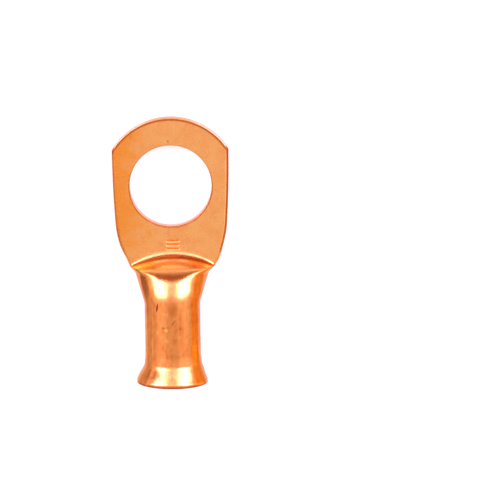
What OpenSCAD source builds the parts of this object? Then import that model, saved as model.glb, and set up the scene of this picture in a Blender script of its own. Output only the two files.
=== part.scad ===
// Copper cable lug, formed from one length of seamless tube.
//
// One end of the tube is belled out to guide the conductor in. The other is
// pressed flat into a palm, cut round at its end and punched for a stud.
//
// Frame: the origin is the centre of the stud hole on the palm's contact
// face, the underside. +Z runs up through the stud hole, +Y towards the
// palm's round end, and the barrel lies along -Y. Stations along the lug are
// "back" distances, measured from the stud hole along -Y.

/* [Stud hole] */
// Diameter of the stud hole, which clears a 1/2 in or M12 stud
stud_hole_d = 13.2; // [12.8:0.1:14.4]

/* [Palm] */
// Width of the palm across its corners
palm_w = 18.9; // [18:0.1:21]
// Thickness of the palm, two tube walls pressed together
palm_t = 2.2; // [1.8:0.1:2.4]
// Radius of the round end about the stud hole
tip_r = 11.1; // [10.8:0.1:12.4]
// Rounding of the two corners where the round end meets the sides
corner_r = 0.55; // [0.3:0.05:1]
// Radius of the long, almost straight curve of each side
side_r = 180; // [100:10:400]
// Radius of the curve that draws each side in towards the shoulder
waist_r = 17; // [15:0.5:24]
// Back distance at which the sides start to draw in
waist_back = 6; // [5:0.1:7]
// Rounding of the folded side edges
edge_round = 0.6; // [0.3:0.05:0.75]

/* [Shoulder] */
// Back distance of the middle of the shoulder's foot, where the palm ends
foot_back = 11.5; // [11:0.1:12]
// Radius of the foot line, seen from above
foot_arc_r = 15; // [13:0.5:25]
// Angle between the palm and the face of the shoulder
shoulder_angle = 78; // [70:1:80]
// Size of the rounding over the top of the shoulder
crown_round = 2.2; // [0.8:0.1:2.6]
// Size of the fillet where the shoulder meets the palm
foot_fillet = 0.75; // [0.4:0.05:1]

/* [Neck] */
// Length of the neck, from the shoulder's foot to the round barrel
neck_l = 7.7; // [7:0.1:10]
// Widening of the neck to each side, per millimetre of its length
neck_spread = 0.34; // [0.2:0.01:0.38]
// Radius of the curve of the neck's top, seen from the side
neck_top_r = 9.4; // [8.4:0.1:20]

/* [Barrel] */
// Outer diameter of the barrel
barrel_d = 9; // [8.6:0.1:9.6]
// Diameter of the bore that takes the stripped conductor
bore_d = 6.8; // [6.2:0.1:7.2]
// Length of the round barrel between the neck and the bell mouth
barrel_l = 9.2; // [6:0.1:16]

/* [Bell mouth] */
// Largest outer diameter of the bell mouth
bell_d = 11.5; // [11:0.1:12.2]
// Angle at which the flare opens, from the tube's length
bell_angle = 24; // [20:1:30]
// Radius of the turn from the barrel into the flare
bell_turn_r = 2.2; // [1.6:0.1:4]
// Length of the slight swell at the barrel's end, before the turn
swell_l = 1.6; // [1:0.2:2]
// Angle of the swell, from the tube's length
swell_angle = 4; // [3:1:6]
// Length of the plain lip beyond the flare
lip_l = 0.6; // [0.5:0.1:1.2]
// Rounding of the lip's outer edge
lip_r = 0.2; // [0.1:0.05:0.3]

/* [Hidden] */
$fn = 96;

copper = [0.87, 0.54, 0.32];

// Stations along the lug, as back distances from the stud hole.
round_back = foot_back + neck_l;
bell_back = round_back + barrel_l;

barrel_r = barrel_d / 2;
bore_r = bore_d / 2;
bell_r = bell_d / 2;
wall = barrel_r - bore_r;

// The turn into the flare, an arc that starts where the swell ends.
turn_start_r = barrel_r + swell_l * tan(swell_angle);
turn_centre_r = turn_start_r + bell_turn_r * cos(swell_angle);
turn_centre_back = bell_back - bell_turn_r * sin(swell_angle);
turn_end_r = turn_centre_r - bell_turn_r * cos(bell_angle);
turn_end_back = turn_centre_back + bell_turn_r * sin(bell_angle);
lip_back = turn_end_back + (bell_r - turn_end_r) / tan(bell_angle);
mouth_back = lip_back + lip_l;

palm_half = palm_w / 2;
mid_t = palm_t / 2;

// Points around a section of the outer skin, and of the cavity inside it.
skin_sides = 56;
cavity_sides = 24;
// Spacing of sections over the flat palm, its waist, the neck and, closest,
// the shoulder.
palm_step = 3;
waist_step = 1.2;
neck_step = 0.5;
shoulder_step = 0.15;
// The cavity needs fewer sections than the skin, by this factor.
cavity_coarse = 2.5;
// Steps in the bell mouth's turn and in the rounding of its lip.
turn_steps = 8;
lip_steps = 4;
// The pressed neck starts this much inside the drawn barrel, which leaves
// the faint line of the press tool.
press_line = 0.015;
// Reach of shapes past the surface they cut or join.
past = 0.5;

// Length over which the neck's sides ease out of the barrel.
ease_l = 1.2;
// How fast the rounding over the top of the shoulder fades to its sides.
crown_fade = 2.5;
// The neck's top line starts to fall this far in front of the barrel.
neck_top_start = 0.3;
// Distance by which a corner's rounding stands proud of the side it meets.
corner_proud = 0.01;
// The cavity is cut off this far short of the point at which it closes.
cavity_cut = 0.15;
// Least share of an arch's height that its slope is worked out for.
least_share = 0.01;
// Share of the palm's half width at which the foot line meets its edge.
elbow_share = 0.72;
// Back distance at which the palm's edge turns into the neck's side, and
// the length of the turn.
elbow_back = foot_back + foot_arc_r
    - sqrt(foot_arc_r ^ 2 - (elbow_share * palm_half) ^ 2);
elbow_l = 1;
shoulder_back = elbow_back + elbow_l;

// A step from 0 to 1 with level ends.
function smooth_step(t) =
    let (u = min(max(t, 0), 1))
        u * u * (3 - 2 * u);

// A ramp that starts level and reaches a slope of 1 at ease_l.
function eased(u) =
    u <= 0 ? 0
    : u < ease_l ? u ^ 2 / (2 * ease_l)
    : u - ease_l / 2;

// The lower, or the higher, of two sloping surfaces at heights a and b, with
// the corner between them rounded. A lean is the cosine of a surface's slope,
// which turns a difference in height into a distance, so that the rounding
// comes close to an arc.
function rounded_lower(a, lean_a, b, lean_b, size) =
    let (
        low = min(a, b),
        gap = (a - low) * lean_a - (b - low) * lean_b
    )
        size <= 0 || abs(gap) >= size ? low
        : let (
            rest = (size - abs(gap)) ^ 2,
            turn = lean_a - lean_b,
            half = size * (lean_a + lean_b) - gap * turn
        )
            low - rest / (half + sqrt(half ^ 2 - turn ^ 2 * rest));

function rounded_higher(a, lean_a, b, lean_b, size) =
    -rounded_lower(-a, lean_a, -b, lean_b, size);

// Half width of the palm: a long arc, then a tighter one tangent to it.
side_back = tip_r / 2;
waist_sin = (waist_back + side_back) / side_r;
waist_cos = sqrt(1 - waist_sin ^ 2);
waist_half = palm_half - side_r * (1 - waist_cos);

function palm_side(back) =
    back <= -side_back ? palm_half
    : back <= waist_back
        ? palm_half - side_r + sqrt(side_r ^ 2 - (back + side_back) ^ 2)
    : let (s = waist_sin + (back - waist_back) / waist_r)
        waist_half - waist_r * (waist_cos - sqrt(1 - s ^ 2));

// Half width of the neck, and of the whole lug from the palm to the barrel.
function neck_side(back) =
    barrel_r - press_line + neck_spread * eased(round_back - back);

function half_width(back) =
    back <= elbow_back ? palm_side(back)
    : back >= shoulder_back ? neck_side(back)
    : let (t = (back - elbow_back) / elbow_l)
        palm_side(elbow_back) * (1 - t) + neck_side(shoulder_back) * t;

// Distance over which the neck's top line has been falling.
function neck_fall(back) = max(round_back - neck_top_start - back, 0);

// Height of the neck's top line, before the shoulder cuts it.
function neck_top(back) =
    barrel_d - press_line - neck_fall(back) ^ 2 / (2 * neck_top_r);

// How far a section has gone from round, 0, to flat, 1.
function flatness(back) =
    smooth_step((round_back - back) / (round_back - elbow_back));

// Height of the widest line of a section.
function widest_z(back) =
    barrel_r + (mid_t - barrel_r) * flatness(back);

// Width of the rounding along the underside's edges: half a circle at the
// barrel, and only the folded edge at the palm.
function under_round(back, half) =
    half + (edge_round - half) * flatness(back);

// Share of its full height that a section with rounded edges has at x.
function edge_share(x, half, edge) =
    let (u = (abs(x) - (half - edge)) / edge)
        u <= 0 ? 1 : sqrt(max(1 - u ^ 2, 0));

// Height of the shoulder's face, a cone about an upright axis. Going inward
// by inset moves the face back, and it then starts from base.
cone_back = foot_back + foot_arc_r;

function shoulder_z(x, back, inset = 0, base = palm_t) =
    base + tan(shoulder_angle)
        * (foot_arc_r - inset - norm([x, cone_back - back]));

// Cosine of the slope of the neck's arched top, where the arch has this
// height and half width and the given share of its height is left.
function arch_lean(height, half, share, back) =
    let (
        across = height / half * sqrt(1 - share ^ 2) / max(share, least_share),
        along = neck_fall(back) / neck_top_r * share
    )
        1 / sqrt(1 + across ^ 2 + along ^ 2);

// Outer skin of the palm, the shoulder and the neck.
function hump_top(x, back) =
    let (
        half = half_width(back),
        z0 = widest_z(back),
        share = edge_share(x, half, half),
        height = neck_top(back) - z0
    )
        rounded_lower(
            z0 + height * share, arch_lean(height, half, share, back),
            shoulder_z(x, back), cos(shoulder_angle),
            crown_round * share ^ crown_fade
        );

function skin_top(x, back) =
    let (
        half = half_width(back),
        z0 = widest_z(back),
        slab = z0 + (palm_t - z0) * edge_share(x, half, edge_round),
        fillet = foot_fillet * edge_share(x, half, half)
    )
        back >= shoulder_back ? max(hump_top(x, back), z0)
        : max(rounded_higher(slab, 1, hump_top(x, back), cos(shoulder_angle), fillet), z0);

function skin_bottom(x, back) =
    let (
        half = half_width(back),
        z0 = widest_z(back),
        base = press_line * (1 - flatness(back))
    )
        z0 - (z0 - base) * edge_share(x, half, under_round(back, half));

function skin_section(back) = [
    for (i = [0 : skin_sides - 1])
        let (
            a = 360 * i / skin_sides,
            x = half_width(back) * cos(a)
        )
            [x, -back, sin(a) >= 0 ? skin_top(x, back) : skin_bottom(x, back)]
];

// Cavity inside the neck. The wall thins a little towards the palm, where
// the two walls meet.
inner_wall_t = min(wall, mid_t);

function wall_at(back) =
    wall + (inner_wall_t - wall) * flatness(back);

// Height of the widest line of the cavity, kept above its floor.
function cavity_z(back) =
    max(widest_z(back), wall_at(back) + wall / 4);

inset_l = wall / sin(shoulder_angle);
cavity_arc_r = foot_arc_r - inset_l;
// Back distance at which the cavity's tip closes, and where it is cut off.
closing_back = cone_back - cavity_arc_r;
cavity_back = closing_back + cavity_cut;

function cavity_half(back) =
    let (
        side = half_width(back) - wall_at(back),
        tongue = sqrt(max(cavity_arc_r ^ 2 - (cone_back - back) ^ 2, 0))
    )
        min(side, tongue);

function cavity_top(x, back) =
    let (
        half = cavity_half(back),
        z0 = cavity_z(back),
        arch = z0 + (neck_top(back) - wall_at(back) - z0) * edge_share(x, half, half)
    )
        max(min(arch, shoulder_z(x, back, inset_l, z0)), z0);

function cavity_bottom(x, back) =
    let (
        half = cavity_half(back),
        z0 = cavity_z(back)
    )
        z0 - (z0 - wall_at(back)) * edge_share(x, half, half);

function cavity_section(back) = [
    for (i = [0 : cavity_sides - 1])
        let (
            a = 360 * i / cavity_sides,
            x = cavity_half(back) * cos(a)
        )
            [x, -back, sin(a) >= 0 ? cavity_top(x, back) : cavity_bottom(x, back)]
];

// A solid through a row of sections that run towards -Y.
module loft(sections) {
    rows = len(sections);
    sides = len(sections[0]);
    points = [for (s = sections) each s];
    front = [for (i = [0 : sides - 1]) i];
    end = [for (i = [sides - 1 : -1 : 0]) (rows - 1) * sides + i];
    skin = [
        for (r = [0 : rows - 2], i = [0 : sides - 1])
            let (
                j = (i + 1) % sides,
                a = r * sides + i,
                b = r * sides + j,
                c = (r + 1) * sides + j,
                d = (r + 1) * sides + i
            )
                each [[a, d, c], [a, c, b]]
    ];
    polyhedron(points, concat([front], [end], skin), convexity = 6);
}

// Evenly spaced stations from one back distance up to, not including, another.
function stations(from, to, step) =
    let (n = ceil((to - from) / step))
        [for (i = [0 : n - 1]) from + (to - from) * i / n];

module formed_end() {
    loft([
        for (back = concat(
            [-tip_r - past],
            stations(-side_back, waist_back, palm_step),
            stations(waist_back, foot_back - foot_fillet, waist_step),
            stations(foot_back - foot_fillet, shoulder_back, shoulder_step),
            stations(shoulder_back, round_back, neck_step),
            [round_back, round_back + past]
        ))
            skin_section(back)
    ]);
}

module neck_cavity() {
    loft([
        for (back = concat(
            stations(cavity_back, shoulder_back, shoulder_step * cavity_coarse),
            stations(shoulder_back, round_back, neck_step * cavity_coarse),
            [round_back, round_back + past]
        ))
            cavity_section(back)
    ]);
}

// Outline that leaves the palm its round end, reaching back over the lug.
corner_x = palm_half - corner_r + corner_proud;
corner_y = sqrt((tip_r - corner_r) ^ 2 - corner_x ^ 2);

module end_cut() {
    reach = mouth_back + past;
    far = [corner_x, corner_y] * 2;
    linear_extrude(height = bell_d * 3, center = true) {
        intersection() {
            circle(r = tip_r);
            polygon([[0, 0], far, [0, tip_r * 3], [-far.x, far.y]]);
        }
        for (side = [-1, 1])
            translate([side * corner_x, corner_y])
                circle(r = corner_r);
        translate([-palm_w, -reach])
            square([palm_w * 2, reach + corner_y]);
    }
}

// Profiles of the tube, outside and inside. Radii run along x and the tube's
// length along y. An arc turns from one slope to another about its centre.
function arc(centre, r, from, to, steps) = [
    for (i = [0 : steps])
        let (a = from + (to - from) * i / steps)
            centre + r * [-cos(a), sin(a)]
];

function outer_profile() = concat(
    [
        [0, round_back],
        [barrel_r, round_back],
        [barrel_r, bell_back - swell_l]
    ],
    arc([turn_centre_r, turn_centre_back], bell_turn_r, swell_angle, bell_angle, turn_steps),
    [[bell_r, lip_back]],
    arc([bell_r - lip_r, mouth_back - lip_r], lip_r, 180, 90, lip_steps),
    [[0, mouth_back]]
);

// The bore opens out about the same centre as the turn outside.
bore_turn_r = turn_centre_r - bore_r;

function bore_profile() =
    let (
        turn = arc([turn_centre_r, turn_centre_back], bore_turn_r, 0, bell_angle, turn_steps),
        turn_end = turn[turn_steps],
        end_back = mouth_back + past,
        end_r = turn_end.x + (end_back - turn_end.y) * tan(bell_angle)
    )
        concat(
            [
                [0, round_back],
                [bore_r, round_back]
            ],
            turn,
            [
                [end_r, end_back],
                [0, end_back]
            ]
        );

// A solid of revolution about the tube's axis.
module along_tube(profile) {
    translate([0, 0, barrel_r])
        rotate([90, 0, 0])
            rotate_extrude()
                polygon(profile);
}

module cable_lug() {
    color(copper)
        difference() {
            union() {
                intersection() {
                    formed_end();
                    end_cut();
                }
                along_tube(outer_profile());
            }
            neck_cavity();
            along_tube(bore_profile());
            translate([0, 0, -past])
                cylinder(d = stud_hole_d, h = palm_t + past * 2);
        }
}

cable_lug();
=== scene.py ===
"""Copper cable lug: a fine mesh of the formed tube, its copper, and a studio.

The mesh follows the solid's own sizes and formulas, with closer sections,
softened edges and the press's small errors. Lengths in the shape functions
are millimetres. The frame is the model's: the origin is the stud hole's
centre on the palm's underside, +Z runs up through the hole, +Y points to the
palm's round end, and "back" is the distance from the hole along -Y.
"""

import math

import bpy
from mathutils import Matrix, Vector


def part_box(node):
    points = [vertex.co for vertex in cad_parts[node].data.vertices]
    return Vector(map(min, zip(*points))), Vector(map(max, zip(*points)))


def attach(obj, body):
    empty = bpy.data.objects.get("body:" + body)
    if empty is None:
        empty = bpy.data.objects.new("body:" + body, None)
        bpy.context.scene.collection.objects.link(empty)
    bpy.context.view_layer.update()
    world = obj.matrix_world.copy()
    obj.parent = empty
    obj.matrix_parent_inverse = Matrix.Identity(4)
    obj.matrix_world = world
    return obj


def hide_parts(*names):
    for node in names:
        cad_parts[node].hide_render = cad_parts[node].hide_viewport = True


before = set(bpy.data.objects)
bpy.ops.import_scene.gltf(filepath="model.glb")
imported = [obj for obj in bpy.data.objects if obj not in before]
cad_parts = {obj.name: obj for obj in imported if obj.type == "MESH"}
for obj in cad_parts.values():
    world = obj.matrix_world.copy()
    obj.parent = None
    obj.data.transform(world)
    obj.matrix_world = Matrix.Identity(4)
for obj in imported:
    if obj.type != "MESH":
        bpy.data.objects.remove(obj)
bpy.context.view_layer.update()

MM = 0.001
NODE = "cable_lug"

# ---------------------------------------------------------------- sizes, mm
# The stud hole, the palm and its waist.
STUD_R = 6.6
PALM_HALF = 9.45
PALM_T = 2.2
TIP_R = 11.1
CORNER_R = 0.55
SIDE_R = 180.0
WAIST_R = 17.0
WAIST_BACK = 6.0
# Rounding of the palm's folded side edges.
FOLD = 0.6

# The shoulder, from its foot on the palm to its crown.
FOOT_BACK = 11.5
FOOT_ARC_R = 15.0
FOOT_BLEND = 0.95
SHOULDER = math.radians(78)
CROWN = 2.2
# How fast the crown's rounding fades to its sides.
CROWN_FADE = 2.5
# Share of the palm's half width at which the foot line meets its edge, the
# length of the turn there, and how far that turn is softened.
ELBOW_SHARE = 0.72
ELBOW_L = 1.0
ELBOW_SOFT = 0.14

NECK_L = 7.7
NECK_SPREAD = 0.34
NECK_TOP_R = 9.4
# The neck's top line starts to fall this far in front of the barrel.
NECK_TOP_START = 0.3
# Length over which the neck's sides ease out of the barrel.
EASE_L = 1.2
# The pressed neck starts this much inside the drawn barrel.
PRESS_LINE = 0.015

BARREL_R = 4.5
BORE_R = 3.4
BARREL_L = 9.2
BELL_R = 5.75
BELL_ANGLE = math.radians(24)
BELL_TURN_R = 2.2
SWELL_L = 1.6
SWELL_ANGLE = math.radians(4)
# Length over which the swell eases out of the barrel.
SWELL_EASE = 0.4
LIP_L = 0.6
LIP_R = 0.2
# Rounding of the line where the flare meets the lip.
LIP_SOFT = 0.06
# Rounding of the mouth's inner edge.
MOUTH_EDGE = 0.16
# The faint ring that the belling die leaves: place, height and width.
RING_BACK = 28.15
RING_H = 0.006
RING_W = 0.12

# The cavity is cut off this far short of the point at which it closes.
CAVITY_CUT = 0.15
# Least share of an arch's height that its slope is worked out for.
LEAST_SHARE = 0.01

MID_T = PALM_T / 2
WALL = BARREL_R - BORE_R
ROUND_BACK = FOOT_BACK + NECK_L
BELL_BACK = ROUND_BACK + BARREL_L
# The centre of the turn into the flare, and where the flare and lip end.
TURN_R = BARREL_R + SWELL_L * math.tan(SWELL_ANGLE) + BELL_TURN_R * math.cos(SWELL_ANGLE)
TURN_BACK = BELL_BACK - BELL_TURN_R * math.sin(SWELL_ANGLE)
LIP_BACK = TURN_BACK + BELL_TURN_R * math.sin(BELL_ANGLE) + (
    BELL_R - TURN_R + BELL_TURN_R * math.cos(BELL_ANGLE)) / math.tan(BELL_ANGLE)
MOUTH_BACK = LIP_BACK + LIP_L
# The shoulder's face is a cone about an upright axis here.
CONE_BACK = FOOT_BACK + FOOT_ARC_R
ELBOW_BACK = CONE_BACK - math.sqrt(FOOT_ARC_R ** 2 - (ELBOW_SHARE * PALM_HALF) ** 2)
SHOULDER_BACK = ELBOW_BACK + ELBOW_L
SIDE_BACK = TIP_R / 2
WAIST_SIN = (WAIST_BACK + SIDE_BACK) / SIDE_R
WAIST_COS = math.sqrt(1 - WAIST_SIN ** 2)
WAIST_HALF = PALM_HALF - SIDE_R * (1 - WAIST_COS)

# The palm's fine grid hands over to rings around the tube here.
TUBE_BACK = 16.0


# ------------------------------------------------------------ shape helpers
def clamp(t):
    return max(0.0, min(1.0, t))


def smooth_step(t):
    """A step from 0 to 1 with level ends."""
    t = clamp(t)
    return t * t * (3 - 2 * t)


def mix(a, b, t):
    return a + (b - a) * t


def eased(u):
    """A ramp that starts level and reaches a slope of 1 at EASE_L."""
    if u <= 0:
        return 0.0
    return u * u / (2 * EASE_L) if u < EASE_L else u - EASE_L / 2


def rounded_lower(a, lean_a, b, lean_b, size):
    """The lower of two sloping surfaces, with the corner between them rounded.

    A lean is the cosine of a surface's slope, which turns a difference in
    height into a distance, so that the rounding comes close to an arc.
    """
    low = min(a, b)
    gap = (a - low) * lean_a - (b - low) * lean_b
    if size <= 0 or abs(gap) >= size:
        return low
    rest = (size - abs(gap)) ** 2
    turn = lean_a - lean_b
    half = size * (lean_a + lean_b) - gap * turn
    return low - rest / (half + math.sqrt(half ** 2 - turn ** 2 * rest))


def edge_share(x, half, edge):
    """Share of its full height that a section with rounded edges has at x."""
    u = (abs(x) - (half - edge)) / edge
    return 1.0 if u <= 0 else math.sqrt(max(1 - u * u, 0))


# ---------------------------------------------------------- the outer skin
def palm_side(back):
    """Half width of the palm: a long arc, then a tighter one tangent to it."""
    if back <= -SIDE_BACK:
        return PALM_HALF
    if back <= WAIST_BACK:
        return PALM_HALF - SIDE_R + math.sqrt(SIDE_R ** 2 - (back + SIDE_BACK) ** 2)
    s = WAIST_SIN + (back - WAIST_BACK) / WAIST_R
    return WAIST_HALF - WAIST_R * (WAIST_COS - math.sqrt(1 - s * s))


def neck_side(back):
    return BARREL_R - PRESS_LINE + NECK_SPREAD * eased(ROUND_BACK - back)


def sharp_half(back):
    """Half width from the palm to the barrel, before its turn is softened."""
    if back <= ELBOW_BACK:
        return palm_side(back)
    if back >= SHOULDER_BACK:
        return neck_side(back)
    t = (back - ELBOW_BACK) / ELBOW_L
    return mix(palm_side(ELBOW_BACK), neck_side(SHOULDER_BACK), t)


def half_width(back):
    if abs(back - (ELBOW_BACK + ELBOW_L / 2)) > ELBOW_L:
        return sharp_half(back)
    around = sharp_half(back - ELBOW_SOFT) + sharp_half(back + ELBOW_SOFT)
    return (2 * sharp_half(back) + around) / 4


def flatness(back):
    """How far a section has gone from round, 0, to flat, 1."""
    return smooth_step((ROUND_BACK - back) / (ROUND_BACK - ELBOW_BACK))


def widest_z(back):
    """Height of the widest line of a section."""
    return mix(BARREL_R, MID_T, flatness(back))


def neck_fall(back):
    """Distance over which the neck's top line has been falling."""
    return max(ROUND_BACK - NECK_TOP_START - back, 0)


def neck_top(back):
    return 2 * BARREL_R - PRESS_LINE - neck_fall(back) ** 2 / (2 * NECK_TOP_R)


def shoulder_z(x, back, inset=0.0, base=PALM_T):
    """Height of the shoulder's face. Going inward by inset moves it back."""
    reach = math.hypot(x, CONE_BACK - back)
    return base + math.tan(SHOULDER) * (FOOT_ARC_R - inset - reach)


def arch_lean(height, half, share, back):
    """The cosine of the arch's slope, across and along the neck."""
    across = height / half * math.sqrt(1 - share ** 2) / max(share, LEAST_SHARE)
    along = neck_fall(back) / NECK_TOP_R * share
    return 1 / math.sqrt(1 + across ** 2 + along ** 2)


def skin_top(x, back):
    half = half_width(back)
    z0 = widest_z(back)
    share = edge_share(x, half, half)
    height = neck_top(back) - z0
    arch = z0 + height * share
    face = shoulder_z(x, back)
    lean = arch_lean(height, half, share, back)
    crown = CROWN * share ** CROWN_FADE
    hump = rounded_lower(arch, lean, face, math.cos(SHOULDER), crown)
    if back >= SHOULDER_BACK:
        return max(hump, z0)
    slab = z0 + (PALM_T - z0) * edge_share(x, half, FOLD)
    foot = FOOT_BLEND * share
    return max(-rounded_lower(-slab, 1.0, -hump, math.cos(SHOULDER), foot), z0)


def skin_bottom(x, back):
    half = half_width(back)
    z0 = widest_z(back)
    base = PRESS_LINE * (1 - flatness(back))
    under = half + (FOLD - half) * flatness(back)
    return z0 - (z0 - base) * edge_share(x, half, under)


# ------------------------------------------------------ the stamped device
# A plain device: three short level bars, of one length, one above the other.
DEVICE_AT = (0.2, -9.65)
DEVICE_DEPTH = 0.10
BARS = [((-0.95, y), (0.95, y)) for y in (-0.65, 0.0, 0.65)]
# Half width of a bar's groove where it ends, and the width of its slope.
BAR_REACH = 0.21
BAR_SLOPE = 0.16
# The device lies within this distance of its middle, both ways.
DEVICE_HALF = 1.6


def stroke_distance(px, py, a, b):
    dx, dy = b[0] - a[0], b[1] - a[1]
    t = clamp(((px - a[0]) * dx + (py - a[1]) * dy) / (dx * dx + dy * dy))
    return math.hypot(px - a[0] - t * dx, py - a[1] - t * dy)


def bar_share(x, y):
    """1 in the middle of a bar, easing to 0 beside it."""
    px, py = x - DEVICE_AT[0], y - DEVICE_AT[1]
    if abs(px) > DEVICE_HALF or abs(py) > DEVICE_HALF:
        return 0.0
    distance = min(stroke_distance(px, py, a, b) for a, b in BARS)
    return smooth_step((BAR_REACH - distance) / BAR_SLOPE)


# --------------------------------------------------------------- outline
# Spacing of the outline's points along the neck, the elbow, the waist and the
# palm's sides, and the elbow's reach beyond its turn.
NECK_STEP = 0.14
ELBOW_STEP = 0.07
WAIST_STEP = 0.25
SIDE_STEP = 0.4
ELBOW_REACH = 0.3
# Steps round the corner, and from there to the middle of the tip.
CORNER_STEPS = 8
TIP_STEPS = 40


def outline_right():
    """Plan points up the lug's right side, each with its cut-edge share."""
    points = []

    def side(start, end, step):
        n = max(1, math.ceil(abs(end - start) / step))
        for i in range(n):
            back = mix(start, end, i / n)
            points.append((half_width(back), -back, 0.0))

    corner_x = PALM_HALF - CORNER_R
    corner_y = math.sqrt((TIP_R - CORNER_R) ** 2 - corner_x ** 2)
    side(TUBE_BACK, SHOULDER_BACK + ELBOW_REACH, NECK_STEP)
    side(SHOULDER_BACK + ELBOW_REACH, ELBOW_BACK - ELBOW_REACH, ELBOW_STEP)
    side(ELBOW_BACK - ELBOW_REACH, WAIST_BACK, WAIST_STEP)
    side(WAIST_BACK, -corner_y, SIDE_STEP)
    turn = math.atan2(corner_y, corner_x)
    for i in range(CORNER_STEPS):
        share = i / CORNER_STEPS
        x = corner_x + CORNER_R * math.cos(turn * share)
        y = corner_y + CORNER_R * math.sin(turn * share)
        points.append((x, y, smooth_step(share)))
    for i in range(TIP_STEPS):
        a = mix(turn, math.pi / 2, i / TIP_STEPS)
        points.append((TIP_R * math.cos(a), TIP_R * math.sin(a), 1.0))
    return points


def outline():
    """The whole outline, from the neck's right side round the tip to its left."""
    right = outline_right()
    return right + [(0.0, TIP_R, 1.0)] + [(-x, y, w) for x, y, w in reversed(right)]


# ----------------------------------------------------------- palm and neck
# Rays across the neck's round end, and points along each ray.
END_STEPS = 110
HOLE_RINGS = 6
TOP_RINGS = 88
BOTTOM_RINGS = 16
RIM_RINGS = 12
# Rounding of the cut end's edge and of the hole's edge, and its squareness.
CUT_EDGE = 0.16
HOLE_EDGE = 0.08
CUT_POWER = 7.0
# Keeps the folded edge's last points off the outline itself.
FOLD_GAP = 0.002
# How closely a ray's points stand, from each back distance on.
COLUMN_WEIGHTS = [(14.3, 0.6), (10.9, 3.5), (7.8, 1.8)]
PLAIN_WEIGHT = 0.6
COLUMN_PROBES = 160


def cut_profile(t, edge):
    """Distance in from a cut edge, and share of full height, at 0 <= t <= 1."""
    a = t * math.pi / 2
    inward = edge * (1 - math.cos(a) ** (2 / CUT_POWER))
    return inward, math.sin(a) ** (2 / CUT_POWER)


class Skin:
    """A mesh gathered point by point, in millimetres."""

    def __init__(self):
        self.points = []
        self.faces = []

    def add(self, x, y, z):
        self.points.append((x, y, z))
        return len(self.points) - 1

    def strip(self, a, b, flip=False):
        """Faces between two rows of points, which may share points."""
        for i in range(len(a) - 1):
            quad = [a[i], a[i + 1], b[i + 1], b[i]]
            quad = [v for k, v in enumerate(quad) if v != quad[k - 1]]
            if len(quad) > 2:
                self.faces.append(quad[::-1] if flip else quad)


def column_weight(back):
    """Closest on the shoulder, then on the device, and wide elsewhere."""
    for start, weight in COLUMN_WEIGHTS:
        if back > start:
            return weight
    return PLAIN_WEIGHT


def ray_columns(rings, start, stop, drop):
    """Reaches from the hole at which a ray's points lie, between its edge groups.

    drop is how far the ray runs back for each millimetre of its reach.
    """
    reaches = [mix(start, stop, i / COLUMN_PROBES) for i in range(COLUMN_PROBES + 1)]
    total = [0.0]
    for a, b in zip(reaches, reaches[1:]):
        total.append(total[-1] + (b - a) * column_weight(drop * (a + b) / 2))
    columns = []
    probe = 0
    for i in range(rings):
        goal = total[-1] * (i + 1) / (rings + 1)
        while total[probe + 1] < goal:
            probe += 1
        share = (goal - total[probe]) / (total[probe + 1] - total[probe])
        columns.append(mix(reaches[probe], reaches[probe + 1], share))
    return columns


def hole_group():
    """Reaches and height shares of a ray's points on the hole's edge."""
    group = []
    for k in range(HOLE_RINGS):
        inward, height = cut_profile((k + 1) / HOLE_RINGS, HOLE_EDGE)
        group.append((STUD_R + inward, height))
    return group


def rim_group(reach, cut):
    """The same on the outline's edge, which is folded at cut 0 and cut at 1."""
    group = []
    for k in range(RIM_RINGS, 0, -1):
        t = k / RIM_RINGS
        d_cut, h_cut = cut_profile(t, CUT_EDGE)
        d_fold = FOLD * (1 - math.cos(t * math.pi / 2)) + FOLD_GAP
        group.append((reach - mix(d_fold, d_cut, cut), mix(1.0, h_cut, cut)))
    return group


def ray_points(skin, ux, uy, rim, rings, height):
    """Adds one ray's points on one side of the palm, from the hole outwards."""
    column = hole_group()
    column += [(r, 1.0) for r in ray_columns(rings, STUD_R + HOLE_EDGE, rim[0][0], -uy)]
    column += rim
    points = []
    for reach, share in column:
        x, y = ux * reach, uy * reach
        z0 = widest_z(-y)
        points.append(skin.add(x, y, z0 + (height(x, y) - z0) * share))
    return points


def marked_top(x, y):
    return skin_top(x, -y) - DEVICE_DEPTH * bar_share(x, y)


def plain_bottom(x, y):
    return skin_bottom(x, -y)


def palm_rays(skin):
    """The palm, shoulder and upper neck, as rays out from the stud hole.

    Returns the ring of points at the neck's round end.
    """
    outer = outline()
    first_end = len(outer)
    rays = list(outer)
    half = half_width(TUBE_BACK)
    for i in range(1, END_STEPS):
        a = math.pi * (END_STEPS - i) / END_STEPS
        rays.append((half * math.cos(a), -TUBE_BACK, 0.0))

    tops, bottoms = [], []
    for i, (x, y, cut) in enumerate(rays):
        reach = math.hypot(x, y)
        ux, uy = x / reach, y / reach
        rim = rim_group(reach, cut)
        top = ray_points(skin, ux, uy, rim, TOP_RINGS, marked_top)
        bottom = ray_points(skin, ux, uy, rim, BOTTOM_RINGS, plain_bottom)
        hole = skin.add(ux * STUD_R, uy * STUD_R, MID_T)
        if i < first_end:
            # The two sides share one point on the outline.
            last = skin.add(x, y, widest_z(-y))
            tops.append([hole] + top + [last])
            bottoms.append([hole] + bottom + [last])
        else:
            tops.append([hole] + top + [skin.add(x, y, skin_top(x, -y))])
            bottoms.append([hole] + bottom + [skin.add(x, y, skin_bottom(x, -y))])

    for i in range(len(rays)):
        j = (i + 1) % len(rays)
        skin.strip(tops[i], tops[j], flip=True)
        skin.strip(bottoms[i], bottoms[j])

    right = tops[0][-1]
    left = tops[first_end - 1][-1]
    end_tops = [ray[-1] for ray in tops[first_end:]]
    end_bottoms = [ray[-1] for ray in bottoms[first_end:]]
    # The ring runs from the right corner over the top to the left, and back.
    return [right] + end_tops[::-1] + [left] + end_bottoms


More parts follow.
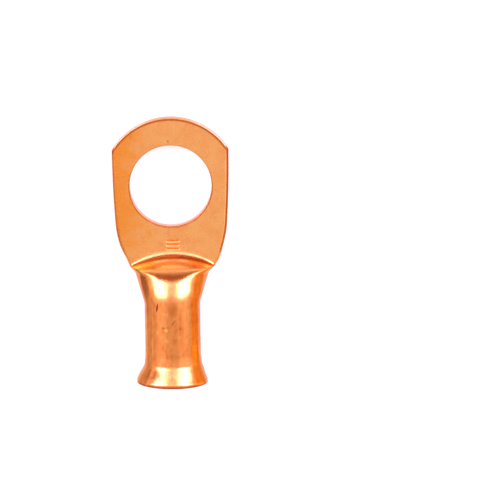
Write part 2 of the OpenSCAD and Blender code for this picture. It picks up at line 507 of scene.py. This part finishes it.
# ------------------------------------------------------------------ barrel
def flare(back, turn_r):
    """The turn into the bell mouth, then its cone."""
    turn_l = turn_r * math.sin(BELL_ANGLE)
    u = back - TURN_BACK
    if u <= turn_l:
        return TURN_R - math.sqrt(turn_r ** 2 - u * u)
    return TURN_R - turn_r * math.cos(BELL_ANGLE) + (u - turn_l) * math.tan(BELL_ANGLE)


def outer_radius(back):
    """The barrel's outside, with the faint ring that the die leaves."""
    swell = back - BELL_BACK + SWELL_L
    if swell <= 0:
        r = BARREL_R
    elif back <= BELL_BACK:
        if swell < SWELL_EASE:
            soft = swell ** 2 / (2 * SWELL_EASE)
        else:
            soft = swell - SWELL_EASE / 2
        # What the easing held back is made up by the swell's end.
        soft += SWELL_EASE / 2 * smooth_step(swell / SWELL_L)
        r = BARREL_R + soft * math.tan(SWELL_ANGLE)
    else:
        cone = flare(back, BELL_TURN_R)
        r = rounded_lower(cone, math.cos(BELL_ANGLE), BELL_R, 1.0, LIP_SOFT)
    return r + RING_H * math.exp(-(((back - RING_BACK) / RING_W) ** 2))


def inner_radius(back):
    return BORE_R if back <= TURN_BACK else flare(back, TURN_R - BORE_R)


# ------------------------------------------------------------ neck cavity
INSET_L = WALL / math.sin(SHOULDER)
CAVITY_ARC_R = FOOT_ARC_R - INSET_L
CAVITY_BACK = CONE_BACK - CAVITY_ARC_R + CAVITY_CUT


def wall_at(back):
    """The wall thins a little towards the palm, where the two walls meet."""
    return mix(WALL, min(WALL, MID_T), flatness(back))


def cavity_point(a, back):
    """Across and up of the cavity's point at an angle round its section."""
    side = half_width(back) - wall_at(back)
    tongue = math.sqrt(max(CAVITY_ARC_R ** 2 - (CONE_BACK - back) ** 2, 0))
    half = min(side, tongue)
    x = half * math.cos(a)
    z0 = max(widest_z(back), wall_at(back) + WALL / 4)
    share = math.sqrt(max(1 - (x / half) ** 2, 0))
    if math.sin(a) < 0:
        return x, z0 - (z0 - wall_at(back)) * share
    arch = z0 + (neck_top(back) - wall_at(back) - z0) * share
    return x, max(min(arch, shoulder_z(x, back, INSET_L, z0)), z0)


def stations(start, end, step):
    """Evenly spaced places after start, up to and including end."""
    n = max(1, round(abs(end - start) / step))
    return [mix(start, end, (i + 1) / n) for i in range(n)]


# Spacing of the rings along the neck, the barrel and the bell mouth, then
# inside the flare, the bore and the cavity.
NECK_RING_STEP = 0.2
BARREL_RING_STEP = 0.5
BELL_RING_STEP = 0.1
FLARE_RING_STEP = 0.22
BORE_RING_STEP = 1.0
CAVITY_RING_STEP = 0.3
# The bore's last ring stands this far short of the cavity.
BORE_GAP = 0.4
# Steps round each of the lip's two edges.
LIP_STEPS = 6


def tube_rings(skin, ring):
    """From the neck, along the barrel, over the lip and back inside."""
    sides = len(ring)
    angles = [2 * math.pi * i / sides for i in range(sides)]

    def join(points):
        nonlocal ring
        new = [skin.add(*p) for p in points]
        skin.strip(ring + ring[:1], new + new[:1], flip=True)
        ring = new

    def circle(radius, back):
        join([
            (radius * math.cos(a), -back, BARREL_R + radius * math.sin(a))
            for a in angles
        ])

    for back in stations(TUBE_BACK, ROUND_BACK, NECK_RING_STEP):
        half = half_width(back)
        section = []
        for a in angles:
            x = half * math.cos(a)
            z = skin_top(x, back) if math.sin(a) >= 0 else skin_bottom(x, back)
            section.append((x, -back, z))
        join(section)
    swell_back = BELL_BACK - SWELL_L
    for back in stations(ROUND_BACK, swell_back, BARREL_RING_STEP):
        circle(outer_radius(back), back)
    for back in stations(swell_back, MOUTH_BACK - LIP_R, BELL_RING_STEP):
        circle(outer_radius(back), back)

    # Over the lip's outer edge, then its inner one.
    lip_r = outer_radius(MOUTH_BACK - LIP_R)
    for i in range(1, LIP_STEPS + 1):
        a = math.pi / 2 * i / LIP_STEPS
        circle(lip_r - LIP_R * (1 - math.cos(a)), MOUTH_BACK - LIP_R * (1 - math.sin(a)))
    mouth_r = inner_radius(MOUTH_BACK)
    for i in range(LIP_STEPS + 1):
        a = math.pi / 2 * i / LIP_STEPS
        circle(mouth_r + MOUTH_EDGE * (1 - math.sin(a)),
               MOUTH_BACK - MOUTH_EDGE * (1 - math.cos(a)))

    for back in stations(MOUTH_BACK - MOUTH_EDGE, TURN_BACK, FLARE_RING_STEP):
        circle(inner_radius(back), back)
    for back in stations(TURN_BACK, ROUND_BACK + BORE_GAP, BORE_RING_STEP):
        circle(BORE_R, back)
    for back in stations(ROUND_BACK, CAVITY_BACK, CAVITY_RING_STEP):
        join([(x, -back, z) for x, z in (cavity_point(a, back) for a in angles)])
    centre = skin.add(0, -CAVITY_BACK, MID_T + WALL / 2)
    for i in range(sides):
        skin.faces.append([centre, ring[i], ring[(i + 1) % sides]])


# ------------------------------------------------------------- painted shade and highlights
# Thin lines of painted shade along the edges, and the painted glint's crescent: where each starts
# and ends, as a distance from its edge or a height over the palm, and how softly.
HOLE_LINE = (0.0, 0.26, 0.12)
TIP_LINE = (0.12, 0.44, 0.2)
RIGHT_LINE = (0.02, 0.36, 0.16)
LEFT_LINE = (0.38, 0.58, 0.14)
FOOT_LINE = (0.2, 0.9, 0.3)
CRESCENT = (1.3, 2.1, 0.5)
# The crescent's middle and half length across the shoulder.
CRESCENT_AT = -0.3
CRESCENT_HALF = 3.3
# Reach of the lip's line of painted shade in from its outer edge.
LIP_LINE = 0.12
# Where the tip's cut edge starts.
TIP_START = 4.5


def band(distance, low, high, soft):
    """1 between two distances, easing to 0 beyond them."""
    return smooth_step((distance - low) / soft + 0.5) * smooth_step((high - distance) / soft + 0.5)


def painted_edge_shade(x, y, z):
    """How far the thin dark lines of painted shade along the palm's edges, the shoulder's foot and
    the lip's edge cover a point.
    """
    if -y > MOUTH_BACK - LIP_R - LIP_LINE and z > BARREL_R:
        return 1.0
    if -y > FOOT_BACK - 0.5:
        heavier = smooth_step(x / 8 + 0.5)
        return band(z - PALM_T, *FOOT_LINE) * mix(0.35, 0.9, heavier)
    if z < MID_T:
        return 0.0
    reach = math.hypot(x, y)
    low_side = smooth_step(0.55 - y / STUD_R)
    hole = band(reach - STUD_R, *HOLE_LINE) * mix(0.2, 1.0, low_side)
    tip = band(TIP_R - reach, *TIP_LINE) * smooth_step(y - TIP_START)
    gap = palm_side(-y) - abs(x)
    side = 0.85 * band(gap, *RIGHT_LINE) if x > 0 else 0.45 * band(gap, *LEFT_LINE)
    return max(hole, tip, side)


def wall_highlight(x, y, z):
    """1 where a highlight is painted: on the stud hole's punched wall, and less on the tip's cut
    edge, towards its sides.
    """
    reach = math.hypot(x, y)
    hole = 1.0 - smooth_step((reach - STUD_R - 0.01) / 0.05)
    tip = smooth_step((reach - TIP_R + 0.1) / 0.06) * smooth_step(y - TIP_START)
    return max(hole, 0.6 * tip * smooth_step((abs(x) - 2.5) / 2.5))


def groove(x, y, z):
    """1 in the device's grooves: there shade is painted, and the copper is rougher."""
    return bar_share(x, y) if z > MID_T else 0.0


def glint(x, y, z):
    """1 on the light crescent at the shoulder's foot."""
    if -y > SHOULDER_BACK:
        return 0.0
    length = smooth_step((CRESCENT_HALF - abs(x - CRESCENT_AT)) / 1.2)
    return band(z - PALM_T, *CRESCENT) * length


# Each tint's attribute name, which the copper reads, and its function. The tints paint shade and
# highlights.
TINTS = (("painted_edge_shade", painted_edge_shade), ("groove", groove), ("wall", wall_highlight), ("glint", glint))


# -------------------------------------------------------------- whole piece
def wander(x, y, z):
    """The press's small errors: the shoulder sits a little to the right,
    the bell mouth a little to the left, and its end is cut slightly askew."""
    back = -y
    shift = 0.19 * math.exp(-(((back - 12.0) / 1.3) ** 2))
    shift -= 0.19 * smooth_step((back - 29.0) / 1.9)
    skew = 0.0145 * smooth_step((back - 27.5) / 3.5)
    return x + shift, y - skew * x, z


def build_lug():
    skin = Skin()
    ring = palm_rays(skin)
    tube_rings(skin, ring)
    points = [wander(*point) for point in skin.points]
    mesh = bpy.data.meshes.new("lug_copper_mesh")
    mesh.from_pydata([(x * MM, y * MM, z * MM) for x, y, z in points], [], skin.faces)
    for name, share in TINTS:
        layer = mesh.attributes.new(name, "FLOAT", "POINT")
        layer.data.foreach_set("value", [share(*point) for point in skin.points])
    mesh.update()
    mesh.polygons.foreach_set("use_smooth", [True] * len(mesh.polygons))
    piece = bpy.data.objects.new("lug_copper", mesh)
    bpy.context.scene.collection.objects.link(piece)
    return piece


# ---------------------------------------------------------------- materials
class Nodes:
    """A short way to write a node tree."""

    def __init__(self, tree):
        self.tree = tree
        tree.nodes.clear()

    def add(self, kind, inputs=None, **settings):
        node = self.tree.nodes.new("ShaderNode" + kind)
        for key, value in settings.items():
            setattr(node, key, value)
        for key, value in (inputs or {}).items():
            socket = node.inputs[key]
            if isinstance(value, bpy.types.NodeSocket):
                self.tree.links.new(value, socket)
            else:
                socket.default_value = value
        return node

    def math(self, operation, a, b=0.0, c=0.0, clamp_it=False):
        node = self.add("Math", {0: a, 1: b, 2: c}, operation=operation)
        node.use_clamp = clamp_it
        return node.outputs[0]

    def ramp(self, value, low, high, out_low=0.0, out_high=1.0):
        node = self.add("MapRange", {
            "Value": value, "From Min": low, "From Max": high,
            "To Min": out_low, "To Max": out_high,
        }, interpolation_type="SMOOTHSTEP")
        return node.outputs[0]

    def attribute(self, name):
        return self.add("Attribute", attribute_name=name).outputs["Fac"]

    def mix_colour(self, factor, a, b, mode="MIX"):
        node = self.add("Mix", data_type="RGBA", blend_type=mode)
        for index, value in ((0, factor), (6, a), (7, b)):
            socket = node.inputs[index]
            if isinstance(value, bpy.types.NodeSocket):
                self.tree.links.new(value, socket)
            else:
                socket.default_value = value
        return node.outputs[2]

    def spot(self, across, along, at, half_w, half_l, lean, soft):
        """1 at the middle of a leaning ellipse, easing to 0 at its edge."""
        c, s = math.cos(math.radians(lean)), math.sin(math.radians(lean))
        x = self.math("SUBTRACT", across, at[0])
        y = self.math("SUBTRACT", along, at[1])
        u = self.math("MULTIPLY_ADD", x, c / half_w, self.math("MULTIPLY", y, s / half_w))
        v = self.math("MULTIPLY_ADD", x, -s / half_l, self.math("MULTIPLY", y, c / half_l))
        reach = self.math("MULTIPLY_ADD", u, u, self.math("MULTIPLY", v, v))
        return self.ramp(reach, 1.0, 1.0 - soft)

    def noise(self, vector, scale, detail=3.0, roughness=0.5):
        node = self.add("TexNoise", {
            "Vector": vector, "Scale": scale, "Detail": detail, "Roughness": roughness,
        })
        return node.outputs[0]


# The copper's colours, linear. First the coined palm's three.
ORANGE = (0.90, 0.282, 0.040, 1)
LIGHT = (0.92, 0.388, 0.113, 1)
ROSY = (0.90, 0.345, 0.096, 1)
# The drawn tube, its darker working and its paler flecks.
DRAWN = (0.91, 0.290, 0.078, 1)
DEEP = (0.70, 0.150, 0.027, 1)
FLECK = (0.98, 0.52, 0.16, 1)
# The shoulder's face, painted with the palm's reflection; the hole's punched wall, painted with a
# highlight; painted shade in lines along the edges and in the device's grooves; and the painted
# glint, a crescent at the shoulder's foot.
FACE_REFLECTION = (0.98, 0.55, 0.10, 1)
WALL_HIGHLIGHT = (0.98, 0.71, 0.46, 1)
EDGE_SHADE = (0.58, 0.115, 0.020, 1)
GROOVE_SHADE = (0.62, 0.125, 0.006, 1)
GLINT = (1.0, 0.90, 0.76, 1)
# What metal turns to at a grazing look.
GRAZING = (0.88, 0.72, 0.60, 1)

# Handling marks, and one patch of painted shade: place, half width, half length, lean, strength,
# softness, colour.
DARK = (0.26, 0.032, 0.005, 1)
RED = (0.62, 0.12, 0.020, 1)
PALE = (0.96, 0.48, 0.12, 1)
MARKS_AND_SHADE = [
    # The nick, and redder patches of the barrel.
    ((-2.40, -18.85), 0.17, 0.9, -9, 0.9, 0.6, DARK),
    ((0.10, -19.2), 0.95, 1.7, 0, 0.45, 1.0, RED),
    ((0.15, -26.9), 0.9, 0.75, 0, 0.2, 1.0, RED),
    ((1.45, -22.6), 0.5, 3.6, 0, 0.35, 1.0, RED),
    # The pale spot and the specks around it.
    ((-0.96, -22.5), 0.42, 0.4, 0, 0.8, 0.9, PALE),
    ((-1.48, -22.1), 0.16, 0.22, 30, 0.7, 0.7, DARK),
    ((1.25, -22.2), 0.12, 0.34, 15, 0.55, 0.7, DARK),
    ((0.2, -21.2), 0.16, 0.65, -38, 0.5, 0.8, DARK),
    # Scratches and nicks of the palm.
    ((-0.42, -7.6), 0.08, 1.0, 0, 0.4, 0.7, RED),
    ((-0.30, 7.3), 0.11, 0.28, 10, 0.7, 0.7, DARK),
    ((-6.2, 8.0), 0.07, 0.7, 35, 0.4, 0.8, RED),
    ((2.4, 9.1), 0.15, 0.2, 0, 0.4, 0.8, RED),
    # The shoulder's right end: a pale scratch, and a redder patch of painted shade.
    ((3.9, -12.5), 0.09, 0.5, 30, 0.8, 0.7, PALE),
    ((4.6, -12.4), 1.5, 0.9, 0, 0.5, 1.0, RED),
]


def new_material(name):
    material = bpy.data.materials.new(name)
    material.use_nodes = True
    return material, Nodes(material.node_tree)


def palm_colour(n, mm, across, along):
    """Rosier patches, and more orange towards the left edge."""
    patches = n.noise(mm, 0.42, 4.0, 0.55)
    clouds = n.noise(mm, 1.1, 3.0, 0.6)
    colour = n.mix_colour(n.ramp(patches, 0.35, 0.65), LIGHT, ROSY)
    left = n.math("MULTIPLY_ADD", n.math("SUBTRACT", patches, 0.5), 14.0, across)
    left = n.math("MULTIPLY", n.ramp(left, -3.0, -8.5), n.ramp(along, -11.0, -9.0, 0.3, 1.0))
    colour = n.mix_colour(left, colour, ORANGE)
    return n.mix_colour(n.ramp(clouds, 0.48, 0.78, 0.0, 0.22), colour, DEEP)


def tube_colour(n, streaks, drawn_space):
    """Drawn streaks, blotches, small dabs and a few flecks."""
    blotches = n.noise(drawn_space, 1.25, 4.0, 0.62)
    dabs = n.noise(drawn_space, 3.4, 2.0, 0.55)
    worked = n.math("MULTIPLY", n.ramp(streaks, 0.40, 0.68), 0.34)
    worked = n.math("ADD", worked, n.ramp(blotches, 0.47, 0.72, 0.0, 0.55))
    worked = n.math("ADD", worked, n.ramp(dabs, 0.6, 0.75, 0.0, 0.3), clamp_it=True)
    colour = n.mix_colour(worked, DRAWN, DEEP)
    return n.mix_colour(n.ramp(blotches, 0.42, 0.3, 0.0, 0.35), colour, FLECK)


def face_reflection_share(n, across, along, up):
    """1 on the shoulder's steep face, where a reflection of the palm is painted, less to its
    right.
    """
    face = n.math("MULTIPLY", n.ramp(up, 2.6, 3.4), n.ramp(along, -13.9, -13.1))
    face = n.math("MULTIPLY", face, n.ramp(up, 7.0, 4.8))
    return n.math("MULTIPLY", face, n.ramp(across, 4.0, -2.5, 0.35, 0.95))


def copper_material():
    material, n = new_material("drawn_copper")
    place = n.add("TexCoord").outputs["Object"]
    mm = n.add("Mapping", {"Vector": place, "Scale": (1000, 1000, 1000)}).outputs[0]
    split = n.add("SeparateXYZ", {"Vector": mm}).outputs
    across, along, up = split["X"], split["Y"], split["Z"]
    # Stretched along the tube, for its streaks and for softer drawn forms.
    streak_space = n.add("Mapping", {"Vector": mm, "Scale": (1, 0.055, 1)}).outputs[0]
    drawn_space = n.add("Mapping", {"Vector": mm, "Scale": (1, 0.55, 1)}).outputs[0]
    streaks = n.noise(streak_space, 2.4, 5.0, 0.62)
    grain = n.noise(mm, 4.6, 3.0, 0.6)
    # 0 on the coined palm, 1 on the drawn tube behind the shoulder.
    tube = n.ramp(along, -12.4, -14.2)

    colour = palm_colour(n, mm, across, along)
    colour = n.mix_colour(tube, colour, tube_colour(n, streaks, drawn_space))
    # Painted reflection: the palm's warm light, painted on the shoulder's face.
    colour = n.mix_colour(face_reflection_share(n, across, along, up), colour, FACE_REFLECTION)
    colour = n.mix_colour(n.ramp(grain, 0.6, 0.78, 0.0, 0.22), colour, DEEP)
    # Single marks of handling, and one patch of painted shade, on the upper side.
    top = n.ramp(up, 2.0, 2.15)
    for at, half_w, half_l, lean, strength, soft, tint in MARKS_AND_SHADE:
        spot = n.spot(across, along, at, half_w, half_l, lean, soft)
        spot = n.math("MULTIPLY", n.math("MULTIPLY", spot, strength), top)
        colour = n.mix_colour(spot, colour, tint)
    in_groove = n.attribute("groove")
    # Painted highlight on the punched wall and the tip's cut edge.
    colour = n.mix_colour(n.attribute("wall"), colour, WALL_HIGHLIGHT)
    # Painted shade in thin lines along the edges.
    colour = n.mix_colour(n.attribute("painted_edge_shade"), colour, EDGE_SHADE)
    # Painted shade in the device's grooves.
    colour = n.mix_colour(in_groove, colour, GROOVE_SHADE)
    colour = n.mix_colour(n.attribute("glint"), colour, GLINT)

    # Rougher on the palm, in the grooves and on the turn into the bell.
    rough_palm = n.ramp(grain, 0.3, 0.7, 0.26, 0.34)
    rough_tube = n.ramp(streaks, 0.3, 0.7, 0.18, 0.25)
    rough = n.add("Mix", {0: tube, 2: rough_palm, 3: rough_tube}, data_type="FLOAT").outputs[0]
    rough = n.math("MULTIPLY_ADD", in_groove, 0.2, rough)
    turn = n.math("MULTIPLY", n.ramp(along, -28.0, -28.4), n.ramp(along, -29.6, -29.0))
    rough = n.math("MULTIPLY_ADD", turn, 0.04, rough)

    # The tube's streaks and long swells, and a grain that is finer on it.
    fine_streaks = n.noise(streak_space, 9.0, 3.0, 0.6)
    swells = n.noise(drawn_space, 0.9, 1.0, 0.4)
    fine_grain = n.noise(mm, 26.0, 2.0, 0.5)
    relief = n.math("MULTIPLY", n.math("MULTIPLY", fine_streaks, 0.1), tube)
    relief = n.math("ADD", relief, n.math("MULTIPLY", n.math("MULTIPLY", swells, 1.6), tube))
    relief = n.math("MULTIPLY_ADD", grain, n.ramp(tube, 0.0, 1.0, 0.35, 0.08), relief)
    relief = n.math("MULTIPLY_ADD", fine_grain, n.ramp(tube, 0.0, 1.0, 0.15, 0.02), relief)
    bump = n.add("Bump", {"Height": relief, "Strength": 0.22, "Distance": 0.00006})

    shader = n.add("BsdfPrincipled", {
        "Base Color": colour,
        "Metallic": 1.0,
        "Roughness": rough,
        "Normal": bump.outputs[0],
        "Specular Tint": GRAZING,
    })
    n.add("OutputMaterial", {"Surface": shader.outputs[0]})
    return material


# -------------------------------------------------------- floor and camera
# The floor's glow is for the camera and the metal's reflections. With what
# the world lights on it, it reaches white, and keeps the lug's shadow.
FLOOR_GLOW = 0.62
FLOOR_GREY = (0.36, 0.36, 0.36, 1)
FLOOR_HALF = 3.0
# The mouth's lowest point lies this far in front of its end, in millimetres.
MOUTH_REST = 0.5

CAMERA_TILT = math.radians(10.5)
CAMERA_ROLL = math.radians(-0.8)
CAMERA_DISTANCE = 0.65
CAMERA_AIM = (0.01269, -0.01110, 0)
CAMERA_LENS = 287.8
SENSOR = 36


def floor_material():
    material, n = new_material("white_floor")
    rays = n.add("LightPath").outputs
    seen = n.math("ADD", rays["Is Camera Ray"], rays["Is Glossy Ray"])
    seen = n.math("ADD", seen, rays["Is Transmission Ray"], clamp_it=True)
    glow = n.add("Emission", {
        "Color": (1, 1, 1, 1),
        "Strength": n.math("MULTIPLY", seen, FLOOR_GLOW),
    })
    matte = n.add("BsdfDiffuse", {"Color": FLOOR_GREY})
    both = n.add("AddShader", {0: glow.outputs[0], 1: matte.outputs[0]})
    n.add("OutputMaterial", {"Surface": both.outputs[0]})
    return material


def build_floor():
    """The plane that the lug rests on, with its mouth's edge and its palm's tip."""
    low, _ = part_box(NODE)
    run = (TIP_R + MOUTH_BACK - MOUTH_REST) * MM
    slope = -low[2] / run
    size = FLOOR_HALF
    corners = [
        (x, y, (y - TIP_R * MM) * slope)
        for x, y in ((-size, -size), (size, -size), (size, size), (-size, size))
    ]
    mesh = bpy.data.meshes.new("floor_mesh")
    mesh.from_pydata(corners, [], [(0, 1, 2, 3)])
    floor = bpy.data.objects.new("floor", mesh)
    bpy.context.scene.collection.objects.link(floor)
    floor.data.materials.append(floor_material())


def build_camera():
    data = bpy.data.cameras.new("camera")
    data.sensor_width = SENSOR
    data.lens = CAMERA_LENS
    data.clip_start = 0.01
    camera = bpy.data.objects.new("camera", data)
    away = Vector((0, math.sin(CAMERA_TILT), math.cos(CAMERA_TILT)))
    camera.location = Vector(CAMERA_AIM) + away * CAMERA_DISTANCE
    turned = Matrix.Rotation(-CAMERA_TILT, 3, "X") @ Matrix.Rotation(CAMERA_ROLL, 3, "Z")
    camera.rotation_euler = turned.to_euler()
    bpy.context.scene.collection.objects.link(camera)
    bpy.context.scene.camera = camera


# ------------------------------------------------------------------ lights
DEGREES = 180 / math.pi
# How bright the softboxes are in their middle and at their sides.
BOX_MIDDLE = 1.15
BOX_SIDE = 9.0
BOX_COLOUR = (1.0, 1.06, 2.1, 1)
GAP_COLOUR = (0.37, 0.22, 0.15, 1)
WALL_COLOUR = (1.0, 0.93, 0.80, 1)
# How much lower the softboxes' and the gap's edges hang to the sides.
SAG = 0.24


def build_world():
    """A soft studio: two hot softboxes over the palm's end, a dark gap
    between them and the bright lower wall, and a dim half behind."""
    world = bpy.data.worlds.new("studio")
    world.use_nodes = True
    bpy.context.scene.world = world
    n = Nodes(world.node_tree)
    aim = n.add("TexCoord").outputs["Generated"]
    xyz = n.add("SeparateXYZ", {"Vector": aim}).outputs
    side = xyz["X"]
    sideways = n.math("ABSOLUTE", side)
    # Tilt from overhead towards the palm's end, and towards either side.
    tilt = n.math("MULTIPLY", n.math("ARCTAN2", xyz["Y"], xyz["Z"]), DEGREES)
    lean = n.math("MULTIPLY", n.math("ARCTAN2", sideways, xyz["Z"]), DEGREES)
    # The tilt again, for edges that hang lower to the sides.
    spread = n.math("MULTIPLY", n.math("MULTIPLY", side, side), SAG)
    spread = n.math("SQRT", n.math("MULTIPLY_ADD", xyz["Z"], xyz["Z"], spread))
    height = n.math("MULTIPLY", n.math("ARCTAN2", xyz["Y"], spread), DEGREES)

    # The dome: dim behind the barrel, lighter overhead and to each side.
    dome = n.ramp(tilt, -60, -18, 0.5, 0.84)
    dome = n.math("ADD", dome, n.ramp(sideways, 0.28, 0.64, 0.0, 0.24))
    # The dark gap past the softboxes, then the wall at the palm's end.
    dome = n.mix_colour(n.ramp(height, 42, 48), dome, GAP_COLOUR)
    dome = n.mix_colour(n.ramp(tilt, 66, 98), dome, WALL_COLOUR)

    # Two softboxes, with a dimmer strip between them.
    rise = n.math("MULTIPLY", n.ramp(tilt, 2, 22), n.ramp(height, 46, 40))
    box = n.ramp(sideways, 0.14, 0.64, BOX_MIDDLE, BOX_SIDE)
    box = n.math("MULTIPLY", box, n.ramp(lean, 78, 54))
    glow = n.mix_colour(1.0, BOX_COLOUR, n.math("MULTIPLY", box, rise), "MULTIPLY")
    back = n.add("Background", {"Color": n.mix_colour(1.0, dome, glow, "ADD")})
    n.add("OutputWorld", {"Surface": back.outputs[0]})


def card_material(name, near, far, start, end):
    """A glow that turns from one colour to another along the lug."""
    material, n = new_material(name)
    place = n.add("TexCoord").outputs["Object"]
    along = n.add("SeparateXYZ", {"Vector": place}).outputs["Y"]
    share = n.ramp(along, start * MM, end * MM)
    colour = n.mix_colour(share, (*near, 1), (*far, 1))
    glow = n.add("Emission", {"Color": colour, "Strength": 1.0})
    n.add("OutputMaterial", {"Surface": glow.outputs[0]})
    return material


def build_card(name, material, corners):
    """A card beside the lug that only the metal sees."""
    mesh = bpy.data.meshes.new(name + "_mesh")
    mesh.from_pydata([(x * MM, y * MM, z * MM) for x, y, z in corners], [], [(0, 1, 2, 3)])
    card = bpy.data.objects.new(name, mesh)
    card.data.materials.append(material)
    bpy.context.scene.collection.objects.link(card)
    card.visible_camera = False
    card.visible_diffuse = False
    card.visible_shadow = False


def upright(x, y0, y1, top):
    """Corners of a card that stands along the lug."""
    return [(x, y0, 0), (x, y1, 0), (x, y1, top), (x, y0, top)]


def lying(x0, x1, y0, y1):
    """Corners of a card that lies beside the lug, just over the floor."""
    z = 0.1
    return [(x0, y0, z), (x1, y0, z), (x1, y1, z), (x0, y1, z)]


# Where the cards on the floor start beside the lug, and how far they reach.
CARD_NEAR = 10.5
CARD_FAR = 400


def build_cards():
    """Glowing cards, seen only in reflections, that paint there the warm side of the next lug to
    the right and the dimmer table around.
    """
    warm = card_material("warm_glow", (1.0, 0.60, 0.08), (1.6, 1.0, 0.03), -27.5, -30)
    build_card("warm_card", warm, upright(18.5, -34, -12, 9))
    build_card("warm_edge_card", warm, upright(13.5, -12, 6, 2.2))
    dim = card_material("dim_glow", (0.36, 0.29, 0.26), (0.78, 0.74, 0.70), -16, -25)
    build_card("dim_card", dim, lying(-CARD_FAR, -CARD_NEAR, -50, -8))
    left = card_material("left_glow", (0.66, 0.63, 0.62), (0.55, 0.5, 0.48), 4, -8)
    build_card("left_card", left, lying(-CARD_FAR, -CARD_NEAR, -8, 12))
    right = card_material("right_glow", (0.62, 0.48, 0.38), (0.85, 0.62, 0.40), -10, -18)
    build_card("right_card", right, lying(CARD_NEAR, 18.4, -34, 8))


# -------------------------------------------------------------------- main
lug = build_lug()
lug.data.materials.append(copper_material())
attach(lug, "root")
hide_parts(NODE)

build_floor()
build_camera()
build_world()
build_cards()

bpy.context.scene.view_settings.view_transform = "Standard"
